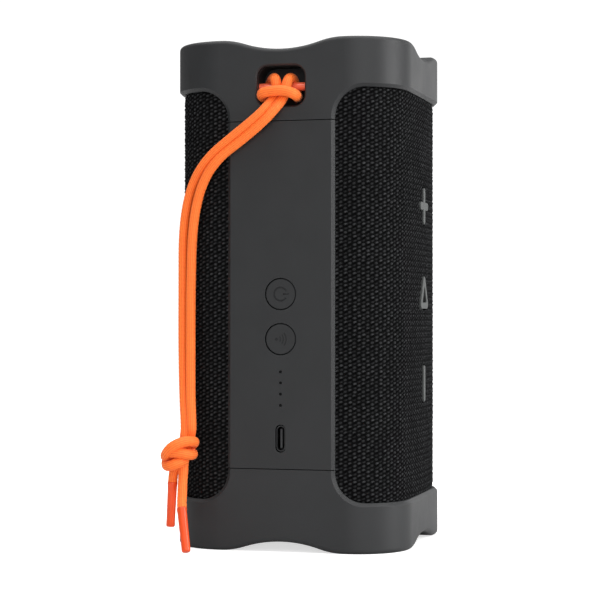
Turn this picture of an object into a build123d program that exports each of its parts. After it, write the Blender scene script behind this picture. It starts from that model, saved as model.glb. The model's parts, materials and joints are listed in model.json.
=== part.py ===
"""Upright portable bluetooth speaker with a rounded square body, built as it comes apart on a bench.

Millimetres. The speaker stands on its lower end cap at z = 0, with the origin in the middle of
that face. The control spine faces -Y, the volume keys face +X and the drivers fire towards +Y.
"""

import math
import os

from build123d import *

os.makedirs("parts", exist_ok=True)

# ---- driving dimensions: outside ----
HEIGHT = 178.0
HALF_WIDTH = 42.2
CORNER_R = 19.5
FLAT_HALF = HALF_WIDTH - CORNER_R
EDGE_ROUND = 1.6
EDGE_CHAMFER = 1.1

SKIRT = 17.4  # from the end of the speaker to the edge of the cap's skirt
SEAM = 28.7  # from the end of the speaker to the seam between tongue and spine
SEAM_GAP = 0.3
WINDOW_R = 10.5  # where a tongue's side runs out into the skirt
SPINE_HALF = 19.2
SPINE_THICK = 2.2
SPINE_RIM = 1.4
END_OPENING_R = 27.0
END_LIP_R = 6.0
END_WALL = 8.2

# wave along each end edge: flat lobes over the corners, a dip in the middle of each side
WAVE_HALF = 22.0
WAVE_DEPTH = 3.5
WAVE_SHOULDER = 8.5
WAVE_DROP = WAVE_DEPTH * WAVE_SHOULDER / WAVE_HALF

# fabric sleeve and the grille core that carries it: a square with slightly bulged sides
SLEEVE_HALF = 41.6
SLEEVE_CORNER_R = 18.0
SLEEVE_SIDE_R = 260.0
SLEEVE_THICK = 1.3
CORE_GAP = 0.1
CORE_THICK = 1.6
CORE_START = 10.0
CORE_SLOT_HALF = 17.7
GRILLE_HOLE_R = 3.2
GRILLE_PITCH = 9.0

# ---- sealed enclosure ----
CHASSIS_HALF = 36.9
CHASSIS_R = 13.5
CHASSIS_WALL = 2.2
CHASSIS_FRONT = -29.6
CHASSIS_REAR = 32.0
CHASSIS_START = 16.0
END_PLATE_THICK = 4.0
GASKET_THICK = 0.8
BOSS_R = 3.4
BOSS_LONG = 12.0
BOSS_SPOTS = [(-31.8, -22.0), (31.8, -22.0), (-31.8, 22.5), (31.8, 22.5)]
POST_R = 2.8
POST_SPOTS = [(x, z) for x in (-31.2, 31.2) for z in (38.0, 89.0, 140.0)]

# ---- passive radiators, one in each end ----
RADIATOR_FRAME_R = 29.5
RADIATOR_FRAME_FACE = 9.4
RADIATOR_OPEN_R = 26.0
RADIATOR_R = 20.0
RADIATOR_FACE = 7.6
RADIATOR_THICK = 2.6
RADIATOR_PLATE_HOLE_R = 25.0
ROLL_R = 2.3
SKIN = 0.6

# ---- drivers, in the rear wall ----
DRIVER_Z = {"lower": 57.0, "upper": 121.0}
DRIVER_HOLE_R = 22.3
FLANGE_R = 25.0
FLANGE_THICK = 1.4
BASKET_R = 21.6
CONE_R = 18.4
DRIVER_ROLL_R = 1.2
COIL_R = 7.8
MAGNET_R = 16.0
MAGNET_BACK = 3.0
MAGNET_FRONT = 16.0
DRIVER_SCREW_R = 23.4

# ---- lanyard eye in the upper cap's tongue ----
EYE_WIDTH = 17.3
EYE_HEIGHT = 14.2
EYE_R = 4.0
EYE_Z = 161.5
EYE_FLOOR = -31.2
EYE_WALL = 1.3
BAR_R = 1.5
BAR_Y = -37.4
BAR_HALF = 10.6

# ---- controls on the spine ----
BUTTON_R = 5.35
BUTTON_HOLE_R = 5.6
BUTTON_FLANGE_R = 6.2
BUTTON_SINK = 0.15
STEM_R = 1.5
STEM_END = -38.0
POWER_Z = 89.3
PAIRING_Z = 73.7
LIGHT_Z = (62.4, 58.6, 54.7, 50.8)
LIGHT_R = 0.5
USB_Z = 39.3
USB_LONG = 9.7
USB_SHORT = 3.7
BOARD_FACE = -34.6
BOARD_THICK = 1.6

# ---- keys on the side ----
KEY_Y = 1.5
KEY_Z = {"plus": 121.4, "play": 90.2, "minus": 57.2}
KEY_LONG = 13.1
KEY_STROKE = 2.9
KEY_CORNER_R = 1.3
KEY_FACE = 42.0
KEY_BASE = 40.85
KEY_STEM_END = 38.2
KEY_SLACK = 0.3
PLAY_HIGH = 11.8
PLAY_WIDE = 11.6
PLAY_CORNER_R = 1.6
PLAY_STROKE = 2.2

# ---- lanyard ----
CORD_R = 1.65
AGLET_R = 1.75

MID = Plane.XY.offset(HEIGHT / 2)
FRONT = -HALF_WIDTH


def finish(piece, name):
    """Label a finished piece and write it to a STEP file of its own."""
    piece.part.label = name
    export_step(piece.part, f"parts/{name}.step")


def both_ends(bottom, name):
    """Write a piece of the lower end, and its mirror image at the upper end."""
    with BuildPart() as top:
        mirror(bottom.part, about=MID)
    finish(bottom, f"bottom_{name}")
    finish(top, f"top_{name}")


def crowned_square(half, corner_r, side_r):
    """Eight tangent arcs: four long sides that bulge out to half, and four round corners."""
    reach = side_r - half
    span = side_r - corner_r
    corner = (math.sqrt(2 * span**2 - reach**2) - reach) / 2
    lean = math.degrees(math.asin(corner / span))
    with BuildSketch() as outline:
        with BuildLine():
            for turn in range(0, 360, 90):
                towards = Vector(1, 0).rotate(Axis.Z, turn)
                start = towards * -reach + towards.rotate(Axis.Z, -lean) * side_r
                end = towards * -reach + towards.rotate(Axis.Z, lean) * side_r
                ThreePointArc(start, towards * half, end)
                middle = towards.rotate(Axis.Z, 45) * (corner * math.sqrt(2) + corner_r)
                ThreePointArc(end, middle, start.rotate(Axis.Z, 90))
        make_face()
    return outline.sketch


def sleeve_outline(inset):
    """The fabric's outline, moved in by inset."""
    return crowned_square(SLEEVE_HALF - inset, SLEEVE_CORNER_R - inset, SLEEVE_SIDE_R - inset)


def wave_profile():
    """What the wavy end edge leaves out of a solid that starts at the end plane."""
    knee = WAVE_HALF - WAVE_SHOULDER
    with BuildSketch() as profile:
        with BuildLine():
            Polyline((-WAVE_HALF, 0), (-60, 0), (-60, -10), (60, -10), (60, 0), (WAVE_HALF, 0))
            TangentArc((-WAVE_HALF, 0), (-knee, WAVE_DROP), tangent=(1, 0))
            ThreePointArc((-knee, WAVE_DROP), (0, WAVE_DEPTH), (knee, WAVE_DROP))
            TangentArc((WAVE_HALF, 0), (knee, WAVE_DROP), tangent=(-1, 0))
        make_face()
    return profile.sketch


def front_opening(slack):
    """The front area that the spine and the tongues take from the fabric."""
    side = SPINE_HALF + slack
    wide = SPINE_HALF + WINDOW_R
    low = SKIRT
    high = HEIGHT - SKIRT
    bend = (WINDOW_R - slack) * (1 - math.sqrt(0.5))
    with BuildSketch() as opening:
        with BuildLine():
            Line((-wide, low), (wide, low))
            ThreePointArc((wide, low), (side + bend, low + bend), (side, low + WINDOW_R))
            Line((side, low + WINDOW_R), (side, high - WINDOW_R))
            ThreePointArc((side, high - WINDOW_R), (side + bend, high - bend), (wide, high))
            Line((wide, high), (-wide, high))
            ThreePointArc((-wide, high), (-side - bend, high - bend), (-side, high - WINDOW_R))
            Line((-side, high - WINDOW_R), (-side, low + WINDOW_R))
            ThreePointArc((-side, low + WINDOW_R), (-side - bend, low + bend), (-wide, low))
        make_face()
    return opening.sketch


def on_outer_wall(point):
    """True where a point lies on the rounded square that the caps share."""
    out_x = max(abs(point.X) - FLAT_HALF, 0)
    out_y = max(abs(point.Y) - FLAT_HALF, 0)
    return abs(math.hypot(out_x, out_y) - CORNER_R) < 0.01


def eye_outline(grow):
    """The lanyard eye as seen from the front."""
    with BuildSketch() as eye:
        with Locations((0, EYE_Z)):
            RectangleRounded(EYE_WIDTH + 2 * grow, EYE_HEIGHT + 2 * grow, EYE_R + grow)
    return eye.sketch


def play_outline(grow):
    """Triangle with its tip up, about its own middle."""
    base = PLAY_WIDE / 2 + PLAY_CORNER_R + 1.7 * grow
    low = -PLAY_HIGH / 2 - grow
    tip = PLAY_HIGH / 2 + PLAY_CORNER_R + 2.2 * grow
    corner_r = max(PLAY_CORNER_R + grow, 0.4)
    with BuildSketch() as triangle:
        with BuildLine():
            FilletPolyline((-base, low), (base, low), (0, tip), radius=corner_r, close=True)
        make_face()
    return triangle.sketch


def key_outline(name, grow=0.0):
    """One key's symbol about its own middle, without the hollow of the play key."""
    if name == "play":
        return play_outline(grow)
    with BuildSketch() as symbol:
        RectangleRounded(KEY_STROKE + 2 * grow, KEY_LONG + 2 * grow, KEY_CORNER_R)
        if name == "plus":
            RectangleRounded(KEY_LONG + 2 * grow, KEY_STROKE + 2 * grow, KEY_CORNER_R)
    return symbol.sketch


def key_plane(name, x):
    """Plane across a side key, with +Y to the right and +Z up."""
    return Plane(origin=(x, KEY_Y, KEY_Z[name]), x_dir=(0, 1, 0), z_dir=(1, 0, 0))


def front_plane(x, y, z):
    """Plane that faces -Y, with +X to the right and +Z up."""
    return Plane(origin=(x, y, z), x_dir=(1, 0, 0), z_dir=(0, -1, 0))


def chassis_outline():
    """Outline of the enclosure, flat at front and rear."""
    with BuildSketch() as outline:
        RectangleRounded(2 * CHASSIS_HALF, 2 * CHASSIS_HALF, CHASSIS_R)
        with Locations((0, (CHASSIS_FRONT + CHASSIS_REAR) / 2)):
            Rectangle(2 * CHASSIS_HALF, CHASSIS_REAR - CHASSIS_FRONT, mode=Mode.INTERSECT)
    return outline.sketch


def chassis_walls(low, high):
    """The enclosure's walls along its whole height, between two values of y."""
    with BuildPart() as walls:
        with BuildSketch(Plane.XY.offset(CHASSIS_START)):
            add(chassis_outline())
            offset(amount=-CHASSIS_WALL, kind=Kind.INTERSECTION, mode=Mode.SUBTRACT)
        extrude(amount=HEIGHT - 2 * CHASSIS_START)
        with Locations((0, (low + high) / 2, HEIGHT / 2)):
            Box(3 * HALF_WIDTH, high - low, 2 * HEIGHT, mode=Mode.INTERSECT)
    return walls.part


def bosses(spots):
    """Bored screw bosses at both ends of the enclosure."""
    with BuildPart() as pillars:
        for start in (CHASSIS_START, HEIGHT - CHASSIS_START - BOSS_LONG):
            with BuildSketch(Plane.XY.offset(start)):
                with Locations(*spots):
                    Circle(BOSS_R)
            extrude(amount=BOSS_LONG)
    return pillars.part


def boss_bores(spots):
    """The bores of those bosses."""
    with BuildPart() as bores:
        with Locations(*[(x, y, HEIGHT / 2) for x, y in spots]):
            Cylinder(1.3, HEIGHT)
    return bores.part


# ---- end caps ----
with BuildPart() as bottom_end_cap:
    with BuildSketch():
        RectangleRounded(2 * HALF_WIDTH, 2 * HALF_WIDTH, CORNER_R)
    extrude(amount=SEAM - SEAM_GAP / 2)
    with BuildSketch(Plane.XZ):
        add(wave_profile())
    extrude(amount=60, both=True, mode=Mode.SUBTRACT)
    with BuildSketch(Plane.YZ):
        add(wave_profile())
    extrude(amount=60, both=True, mode=Mode.SUBTRACT)
    end_edges = [
        edge
        for edge in bottom_end_cap.edges()
        if edge.bounding_box().max.Z < WAVE_DEPTH + 0.1 and on_outer_wall(edge @ 0.5)
    ]
    fillet(end_edges, EDGE_ROUND)
    # above the skirt only the tongue on the front stays
    with BuildSketch(Plane.XZ.offset(20)):
        with Locations((0, SEAM)):
            Rectangle(3 * HALF_WIDTH, 2 * (SEAM - SKIRT))
        add(front_opening(0), mode=Mode.SUBTRACT)
    extrude(amount=40, mode=Mode.SUBTRACT)
    with BuildSketch(Plane.XY.offset(SKIRT)):
        with Locations((0, 40)):
            Rectangle(3 * HALF_WIDTH, 120)
    extrude(amount=20, mode=Mode.SUBTRACT)
    window_edges = [
        edge
        for edge in bottom_end_cap.edges()
        if SKIRT - 0.1 < (edge @ 0.5).Z < SEAM - 1
        and on_outer_wall(edge @ 0.5)
        and on_outer_wall(edge @ 0.1)
    ]
    chamfer(window_edges, EDGE_CHAMFER)
    with BuildSketch(Plane.XY.offset(END_WALL)):
        add(sleeve_outline(SLEEVE_THICK))
    extrude(amount=40, mode=Mode.SUBTRACT)
    with BuildSketch(Plane.XZ):
        lip = END_OPENING_R + END_LIP_R
        bend = END_LIP_R * (1 - math.sqrt(0.5))
        with BuildLine():
            Polyline((END_OPENING_R, END_LIP_R), (END_OPENING_R, END_WALL + 1), (0, END_WALL + 1))
            Polyline((0, END_WALL + 1), (0, -1), (lip, -1), (lip, 0))
            ThreePointArc((lip, 0), (END_OPENING_R + bend, bend), (END_OPENING_R, END_LIP_R))
        make_face()
    revolve(axis=Axis.Z, mode=Mode.SUBTRACT)
finish(bottom_end_cap, "bottom_end_cap")

with BuildPart() as top_end_cap:
    mirror(bottom_end_cap.part, about=MID)
    with BuildSketch(Plane.XZ.offset(-EYE_FLOOR - EYE_WALL)):
        add(eye_outline(EYE_WALL))
    extrude(amount=-FRONT + EYE_FLOOR - EYE_WALL)
    with BuildSketch(Plane.XZ.offset(-EYE_FLOOR)):
        add(eye_outline(0))
    extrude(amount=20, mode=Mode.SUBTRACT)
    eye_rim = [edge for edge in top_end_cap.edges().filter_by(lambda e: abs((e @ 0.5).Y - FRONT) < 0.01)
               if (edge @ 0.5 - Vector(0, FRONT, EYE_Z)).length < EYE_WIDTH / 2 + 1]
    chamfer(eye_rim, 0.5)
    with Locations((0, BAR_Y, EYE_Z)):
        Cylinder(BAR_R + 0.05, 2 * BAR_HALF, rotation=(0, 90, 0), mode=Mode.SUBTRACT)
finish(top_end_cap, "top_end_cap")

with BuildPart() as lanyard_bar:
    with Locations((0, BAR_Y, EYE_Z)):
        Cylinder(BAR_R, 2 * BAR_HALF, rotation=(0, 90, 0))
finish(lanyard_bar, "lanyard_bar")

# ---- spine with its buttons, lights and charging port ----
with BuildPart() as spine_panel:
    with BuildSketch(front_plane(0, FRONT + SPINE_THICK, HEIGHT / 2)):
        Rectangle(2 * SPINE_HALF, HEIGHT - 2 * SEAM - SEAM_GAP)
    extrude(amount=SPINE_THICK)
    long_edges = spine_panel.edges().filter_by(Axis.Z).group_by(Axis.Y)[0]
    chamfer(long_edges, EDGE_CHAMFER)
    rim_high = HEIGHT - 2 * SEAM - 6
    with BuildSketch(front_plane(0, FRONT + SPINE_THICK + 2.4, HEIGHT / 2)):
        Rectangle(2 * CORE_SLOT_HALF - 0.4, rim_high)
        Rectangle(2 * CORE_SLOT_HALF - 0.4 - 2 * SPINE_RIM, rim_high - 2 * SPINE_RIM, mode=Mode.SUBTRACT)
    extrude(amount=2.4)
    with BuildSketch(front_plane(0, FRONT + SPINE_THICK, 0)):
        with Locations((0, POWER_Z), (0, PAIRING_Z)):
            Circle(BUTTON_HOLE_R)
        with Locations(*[(0, z) for z in LIGHT_Z]):
            Circle(LIGHT_R + 0.05)
        with Locations((0, USB_Z)):
            SlotOverall(USB_LONG, USB_SHORT, rotation=90)
    extrude(amount=SPINE_THICK, mode=Mode.SUBTRACT)
finish(spine_panel, "spine_panel")

for button, height in (("power_button", POWER_Z), ("pairing_button", PAIRING_Z)):
    with BuildPart() as push_button:
        flange_back = FRONT + SPINE_THICK + 0.9
        with BuildSketch(front_plane(0, flange_back, height)):
            Circle(BUTTON_FLANGE_R)
        extrude(amount=0.8)
        with BuildSketch(front_plane(0, flange_back, height)):
            Circle(BUTTON_R)
        extrude(amount=flange_back - FRONT - BUTTON_SINK)
        chamfer(push_button.faces().sort_by(Axis.Y)[0].edges(), 0.25)
        with BuildSketch(front_plane(0, STEM_END, height)):
            Circle(STEM_R)
        extrude(amount=STEM_END - flange_back)
    finish(push_button, button)

with BuildPart() as button_keymat:
    keymat_face = STEM_END + 0.7
    with BuildSketch(front_plane(0, keymat_face + 0.8, (POWER_Z + PAIRING_Z) / 2)):
        RectangleRounded(16, 32, 3)
    extrude(amount=0.8)
    fillet(button_keymat.faces().sort_by(Axis.Y)[0].edges(), 0.3)
finish(button_keymat, "button_keymat")

with BuildPart() as led_light_pipe:
    pipe_back = FRONT + SPINE_THICK + 1.9
    with BuildSketch(front_plane(0, pipe_back, sum(LIGHT_Z) / len(LIGHT_Z))):
        RectangleRounded(4, LIGHT_Z[0] - LIGHT_Z[-1] + 5, 1.2)
    extrude(amount=1.2)
    with BuildSketch(front_plane(0, pipe_back, 0)):
        with Locations(*[(0, z) for z in LIGHT_Z]):
            Circle(LIGHT_R)
    extrude(amount=pipe_back - FRONT - 0.05)
finish(led_light_pipe, "led_light_pipe")

with BuildPart() as control_board:
    with BuildSketch(front_plane(0, BOARD_FACE + BOARD_THICK, HEIGHT / 2)):
        Rectangle(26, 108)
        with Locations((-10, 50), (10, 50), (-10, -50), (10, -50)):
            Circle(1.2, mode=Mode.SUBTRACT)
    extrude(amount=BOARD_THICK)
finish(control_board, "control_board")

with BuildPart() as tact_switches:
    switch_back = BOARD_FACE - 0.02
    with BuildSketch(front_plane(0, switch_back, 0)):
        with Locations((0, POWER_Z), (0, PAIRING_Z)):
            RectangleRounded(6, 6, 0.5)
        with Locations(*[(0, z) for z in LIGHT_Z]):
            Rectangle(1.6, 1.0)
    extrude(amount=1.0)
    with BuildSketch(front_plane(0, switch_back, 0)):
        with Locations((0, POWER_Z), (0, PAIRING_Z)):
            Circle(1.7)
    extrude(amount=1.6)
finish(tact_switches, "tact_switches")

with BuildPart() as usb_c_shell:
    with BuildSketch(front_plane(0, BOARD_FACE - 0.02, USB_Z)):
        SlotOverall(8.9, 3.2, rotation=90)
        SlotOverall(8.3, 2.6, rotation=90, mode=Mode.SUBTRACT)
    extrude(amount=6.9)
    with BuildSketch(front_plane(0, BOARD_FACE - 0.02, USB_Z)):
        SlotOverall(8.6, 2.9, rotation=90)
    extrude(amount=0.8)
finish(usb_c_shell, "usb_c_shell")

with BuildPart() as usb_c_tongue:
    with BuildSketch(front_plane(0, BOARD_FACE - 0.84, USB_Z)):
        Rectangle(0.7, 6.6)
    extrude(amount=5.4)
finish(usb_c_tongue, "usb_c_tongue")

with BuildPart() as usb_c_seal:
    with BuildSketch(front_plane(0, FRONT + SPINE_THICK + 1.6, USB_Z)):
        SlotOverall(12.4, 6.6, rotation=90)
        SlotOverall(9.0, 3.3, rotation=90, mode=Mode.SUBTRACT)
    extrude(amount=1.55)
finish(usb_c_seal, "usb_c_seal")

# ---- fabric sleeve and grille core ----
with BuildPart() as fabric_sleeve:
    with BuildSketch(Plane.XY.offset(SKIRT + 0.05)):
        add(sleeve_outline(0))
        add(sleeve_outline(SLEEVE_THICK), mode=Mode.SUBTRACT)
    extrude(amount=HEIGHT - 2 * SKIRT - 0.1)
    with BuildSketch(Plane.XZ.offset(20)):
        add(front_opening(0.1))
    extrude(amount=40, mode=Mode.SUBTRACT)
    for key in KEY_Z:
        with BuildSketch(key_plane(key, 30)):
            add(key_outline(key, KEY_SLACK))
        extrude(amount=20, mode=Mode.SUBTRACT)
finish(fabric_sleeve, "fabric_sleeve")

with BuildPart() as grille_core:
    with BuildSketch(Plane.XY.offset(CORE_START)):
        add(sleeve_outline(SLEEVE_THICK + CORE_GAP))
        add(sleeve_outline(SLEEVE_THICK + CORE_GAP + CORE_THICK), mode=Mode.SUBTRACT)
    extrude(amount=HEIGHT - 2 * CORE_START)
    with Locations((0, -HALF_WIDTH, HEIGHT / 2)):
        Box(2 * CORE_SLOT_HALF, 40, HEIGHT, mode=Mode.SUBTRACT)
    with BuildSketch(Plane.XZ.offset(-60)):
        with Locations((0, HEIGHT / 2)):
            with GridLocations(GRILLE_PITCH, GRILLE_PITCH, 5, 13):
                Circle(GRILLE_HOLE_R)
    extrude(amount=40, mode=Mode.SUBTRACT)
    for key in KEY_Z:
        with BuildSketch(key_plane(key, 30)):
            Circle(STEM_R + 0.4)
        extrude(amount=20, mode=Mode.SUBTRACT)
finish(grille_core, "grille_core")

# ---- side keys ----
for key in KEY_Z:
    with BuildPart() as side_key:
        with BuildSketch(key_plane(key, KEY_BASE)):
            add(key_outline(key))
        extrude(amount=KEY_FACE - KEY_BASE)
        if key == "play":
            with BuildSketch(key_plane(key, KEY_BASE + 0.5)):
                add(play_outline(-PLAY_STROKE))
            extrude(amount=2, mode=Mode.SUBTRACT)
        top_edges = side_key.faces().sort_by(Axis.X)[-1].outer_wire().edges()
        fillet(top_edges, 0.25)
        with BuildSketch(key_plane(key, KEY_STEM_END)):
            Circle(STEM_R)
        extrude(amount=KEY_BASE - KEY_STEM_END)
    finish(side_key, f"{key}_key")

with BuildPart() as side_key_board:
    with Locations((CHASSIS_HALF + 0.2, KEY_Y, HEIGHT / 2)):
        Box(0.3, 14, 84)
finish(side_key_board, "side_key_board")

with BuildPart() as side_key_domes:
    for key in KEY_Z:
        with BuildSketch(key_plane(key, CHASSIS_HALF + 0.37)):
            Circle(2.5)
        extrude(amount=0.3)
finish(side_key_domes, "side_key_domes")

# ---- sealed enclosure ----
with BuildPart() as front_chassis:
    add(chassis_walls(CHASSIS_FRONT, -GASKET_THICK / 2))
    add(bosses(BOSS_SPOTS[:2]))
    add(boss_bores(BOSS_SPOTS[:2]), mode=Mode.SUBTRACT)
    for x, z in POST_SPOTS:
        with BuildSketch(front_plane(x, -GASKET_THICK / 2, z)):
            Circle(POST_R)
            Circle(1.05, mode=Mode.SUBTRACT)
        extrude(amount=-CHASSIS_FRONT - CHASSIS_WALL)
finish(front_chassis, "front_chassis")

with BuildPart() as rear_chassis:
    add(chassis_walls(GASKET_THICK / 2, CHASSIS_REAR))
    add(bosses(BOSS_SPOTS[2:]))
    add(boss_bores(BOSS_SPOTS[2:]), mode=Mode.SUBTRACT)
    for z in DRIVER_Z.values():
        with BuildSketch(front_plane(0, CHASSIS_REAR + 1, z)):
            Circle(DRIVER_HOLE_R)
            with PolarLocations(DRIVER_SCREW_R, 4, start_angle=45):
                Circle(0.9)
        extrude(amount=CHASSIS_WALL + 2, mode=Mode.SUBTRACT)
    for x, z in POST_SPOTS:
        with BuildSketch(front_plane(x, CHASSIS_REAR - 0.1, z)):
            Circle(POST_R)
        extrude(amount=CHASSIS_REAR - 0.1 - GASKET_THICK / 2)
        with BuildSketch(front_plane(x, CHASSIS_REAR + 1, z)):
            Circle(1.3)
        extrude(amount=CHASSIS_REAR + 1, mode=Mode.SUBTRACT)
finish(rear_chassis, "rear_chassis")

with BuildPart() as chassis_gasket:
    add(chassis_walls(-GASKET_THICK / 2, GASKET_THICK / 2))
finish(chassis_gasket, "chassis_gasket")

with BuildPart() as bottom_end_plate:
    with BuildSketch(Plane.XY.offset(CHASSIS_START - END_PLATE_THICK)):
        add(chassis_outline())
        Circle(RADIATOR_PLATE_HOLE_R, mode=Mode.SUBTRACT)
        with Locations(*BOSS_SPOTS):
            Circle(1.3, mode=Mode.SUBTRACT)
    extrude(amount=END_PLATE_THICK)
both_ends(bottom_end_plate, "end_plate")

# ---- passive radiators ----
with BuildPart() as radiator_frame:
    with BuildSketch(Plane.XY.offset(RADIATOR_FRAME_FACE)):
        Circle(RADIATOR_FRAME_R)
        Circle(RADIATOR_OPEN_R, mode=Mode.SUBTRACT)
    extrude(amount=CHASSIS_START - END_PLATE_THICK - RADIATOR_FRAME_FACE)
both_ends(radiator_frame, "radiator_frame")

with BuildPart() as radiator_surround:
    land = RADIATOR_FRAME_FACE - SKIN
    middle_r = (RADIATOR_OPEN_R + RADIATOR_R) / 2 + 0.3
    with BuildSketch(Plane.XZ):
        with Locations(((RADIATOR_R + middle_r - ROLL_R) / 2 + 0.1, land + SKIN / 2)):
            Rectangle(middle_r - ROLL_R - RADIATOR_R + 0.2, SKIN)
        with Locations(((RADIATOR_OPEN_R + 1.6 + middle_r + ROLL_R) / 2 - 0.1, land + SKIN / 2)):
            Rectangle(RADIATOR_OPEN_R + 1.8 - middle_r - ROLL_R, SKIN)
        with BuildSketch(mode=Mode.PRIVATE) as roll:
            Circle(ROLL_R + SKIN / 2)
            Circle(ROLL_R - SKIN / 2, mode=Mode.SUBTRACT)
            with Locations((0, 5)):
                Rectangle(20, 10, mode=Mode.SUBTRACT)
        with Locations((middle_r, land + SKIN)):
            add(roll.sketch)
    revolve(axis=Axis.Z)
both_ends(radiator_surround, "radiator_surround")

with BuildPart() as radiator_plate:
    plate_r = RADIATOR_R - 0.15
    with BuildSketch(Plane.XZ):
        with BuildLine():
            Polyline((0, RADIATOR_FACE + RADIATOR_THICK), (plate_r, RADIATOR_FACE + RADIATOR_THICK))
            Line((plate_r, RADIATOR_FACE + RADIATOR_THICK), (plate_r, RADIATOR_FACE + 0.5))
            Line((plate_r, RADIATOR_FACE + 0.5), (plate_r - 0.5, RADIATOR_FACE))
            Line((plate_r - 0.5, RADIATOR_FACE), (plate_r - 3, RADIATOR_FACE))
            TangentArc((0, RADIATOR_FACE + 0.9), (plate_r - 3, RADIATOR_FACE), tangent=(1, 0))
            Line((0, RADIATOR_FACE + 0.9), (0, RADIATOR_FACE + RADIATOR_THICK))
        make_face()
    revolve(axis=Axis.Z)
both_ends(radiator_plate, "radiator_plate")

with BuildPart() as radiator_weight:
    with BuildSketch(Plane.XY.offset(RADIATOR_FACE + RADIATOR_THICK + 0.02)):
        Circle(9)
    extrude(amount=3.5)
    fillet(radiator_weight.edges().group_by(Axis.Z)[-1], 0.6)
both_ends(radiator_weight, "radiator_weight")

# ---- full-range drivers ----
for place, z in DRIVER_Z.items():
    axis = Axis((0, 0, z), (0, 1, 0))
    flange_back = CHASSIS_REAR + GASKET_THICK

    with BuildPart() as driver_gasket:
        with BuildSketch(front_plane(0, flange_back - 0.02, z)):
            Circle(FLANGE_R)
            Circle(BASKET_R + 0.5, mode=Mode.SUBTRACT)
            with PolarLocations(DRIVER_SCREW_R, 4, start_angle=45):
                Circle(0.9, mode=Mode.SUBTRACT)
        extrude(amount=GASKET_THICK - 0.04)
    finish(driver_gasket, f"{place}_driver_gasket")

    with BuildPart() as driver_basket:
        with BuildSketch(Plane.YZ):
            with BuildLine():
                Polyline(
                    (flange_back, z + FLANGE_R),
                    (flange_back + FLANGE_THICK, z + FLANGE_R),
                    (flange_back + FLANGE_THICK, z + BASKET_R - 1.2),
                    (flange_back - 2, z + BASKET_R - 1.2),
                    (MAGNET_FRONT + 1.3, z + MAGNET_R - 1.4),
                    (MAGNET_FRONT + 1.3, z + COIL_R + 1.4),
                    (MAGNET_FRONT + 0.02, z + COIL_R + 1.4),
                    (MAGNET_FRONT + 0.02, z + MAGNET_R - 0.6),
                    (flange_back - 2, z + BASKET_R),
                    (flange_back, z + BASKET_R),
                    close=True,
                )
            make_face()
        revolve(axis=axis)
        with BuildSketch(front_plane(0, flange_back - 4, z)):
            with PolarLocations(15.5, 4):
                RectangleRounded(12, 9, 2)
        extrude(amount=14, mode=Mode.SUBTRACT)
        with BuildSketch(front_plane(0, flange_back + 3, z)):
            with PolarLocations(DRIVER_SCREW_R, 4, start_angle=45):
                Circle(0.9)
        extrude(amount=5, mode=Mode.SUBTRACT)
    finish(driver_basket, f"{place}_driver_basket")

    with BuildPart() as driver_magnet:
        with BuildSketch(Plane.YZ):
            with BuildLine():
                Polyline(
                    (MAGNET_BACK, z),
                    (MAGNET_FRONT, z),
                    (MAGNET_FRONT, z + COIL_R - 0.9),
                    (MAGNET_BACK + 3, z + COIL_R - 0.9),
                    (MAGNET_BACK + 3, z + MAGNET_R),
                    (MAGNET_BACK, z + MAGNET_R),
                    close=True,
                )
            make_face()
            with Locations((MAGNET_BACK + 6.54, z + (MAGNET_R + 10) / 2)):
                Rectangle(7, MAGNET_R - 10)
            with Locations((MAGNET_FRONT - 1.45, z + (MAGNET_R - 1 + COIL_R + 0.9) / 2)):
                Rectangle(2.86, MAGNET_R - 1 - COIL_R - 0.9)
        revolve(axis=axis)
    finish(driver_magnet, f"{place}_driver_magnet")

    with BuildPart() as driver_surround:
        face = flange_back + FLANGE_THICK + 0.02
        roll_middle = (CONE_R + BASKET_R) / 2 - 0.4
        with BuildSketch(Plane.YZ):
            with Locations((face + 0.2, z + roll_middle + DRIVER_ROLL_R + 0.5)):
                Rectangle(0.4, 1.0)
            with Locations((face + 0.2, z + roll_middle - DRIVER_ROLL_R - 0.4)):
                Rectangle(0.4, 0.8)
            with BuildSketch(mode=Mode.PRIVATE) as roll:
                Circle(DRIVER_ROLL_R + 0.2)
                Circle(DRIVER_ROLL_R - 0.2, mode=Mode.SUBTRACT)
                with Locations((-5, 0)):
                    Rectangle(10, 20, mode=Mode.SUBTRACT)
            with Locations((face, z + roll_middle)):
                add(roll.sketch)
        revolve(axis=axis)
    finish(driver_surround, f"{place}_driver_surround")

    with BuildPart() as driver_cone:
        front = flange_back + FLANGE_THICK - 0.02
        neck = MAGNET_FRONT + 7
        with BuildSketch(Plane.YZ):
            with BuildLine():
                Polyline(
                    (front, z + CONE_R),
                    (neck, z + COIL_R),
                    (MAGNET_FRONT - 2.4, z + COIL_R),
                    (MAGNET_FRONT - 2.4, z + COIL_R - 0.4),
                    (neck + 0.5, z + COIL_R - 0.4),
                    (front, z + CONE_R - 0.9),
                    close=True,
                )
            make_face()
        revolve(axis=axis)
    finish(driver_cone, f"{place}_driver_cone")

    with BuildPart() as dust_cap:
        with BuildSketch(Plane.YZ):
            with BuildLine():
                TangentArc((neck + 3.4, z), (neck + 0.9, z + COIL_R - 0.1), tangent=(0, 1))
                Line((neck + 0.9, z + COIL_R - 0.1), (neck + 0.7, z + COIL_R - 0.6))
                TangentArc((neck + 2.9, z), (neck + 0.7, z + COIL_R - 0.6), tangent=(0, 1))
                Line((neck + 2.9, z), (neck + 3.4, z))
            make_face()
        revolve(axis=axis)
    finish(dust_cap, f"{place}_dust_cap")

# ---- amplifier board and battery ----
BATTERY_R = 9.2
BATTERY_LONG = 65.0
BATTERY_X = 9.6
BATTERY_Y = -17.6
AMP_X = -27.0

with BuildPart() as main_board:
    with Locations((AMP_X, 0, HEIGHT / 2)):
        Box(1.6, 46, 72)
finish(main_board, "main_board")

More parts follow.
